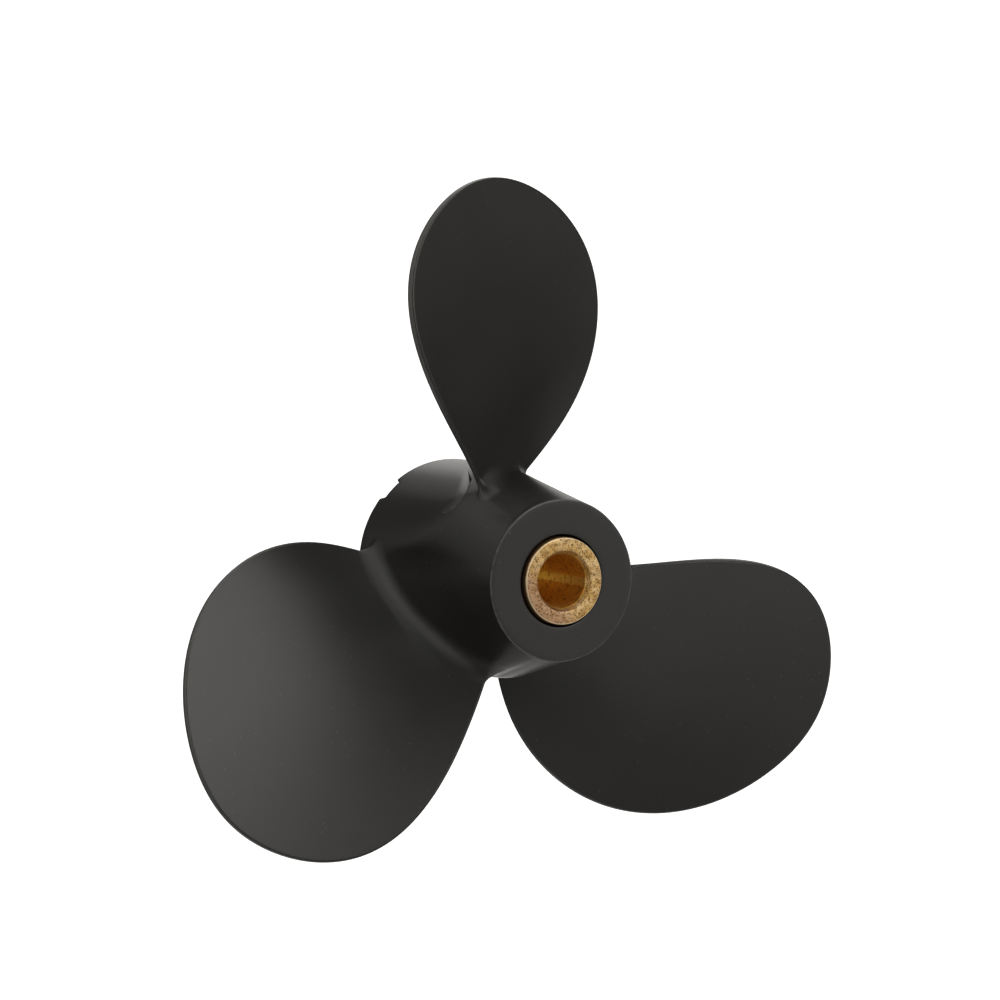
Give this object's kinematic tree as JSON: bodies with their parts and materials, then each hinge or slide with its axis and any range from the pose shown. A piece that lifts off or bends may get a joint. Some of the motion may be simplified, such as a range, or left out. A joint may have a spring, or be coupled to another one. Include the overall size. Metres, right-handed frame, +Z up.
{
  "type": "outboard boat propeller",
  "caption": "Small right-handed outboard boat propeller: cast hub and blades in satin black, rubber cushion bush and bronze shaft sleeve.",
  "frame": {"origin": "on the shaft axis, in the plane where the blades' screw surface crosses the straight-up line at a third of the tip radius, inside the sleeve's bore", "axes": "+Z up through one blade, +Y along the shaft axis towards the wide forward end of the hub, +X to the right for someone who looks from aft"},
  "size_m": [0.1727, 0.0557, 0.1622],
  "materials": {
    "painted_casting": "satin black paint on die-cast aluminium",
    "rubber": "matt black moulded rubber",
    "bronze": "sintered bronze, speckled, turned mouth"
  },
  "bodies": {
    "root": {"propeller_casting": "painted_casting", "rubber_bush": "rubber", "bronze_sleeve": "bronze"}
  },
  "joints": []
}
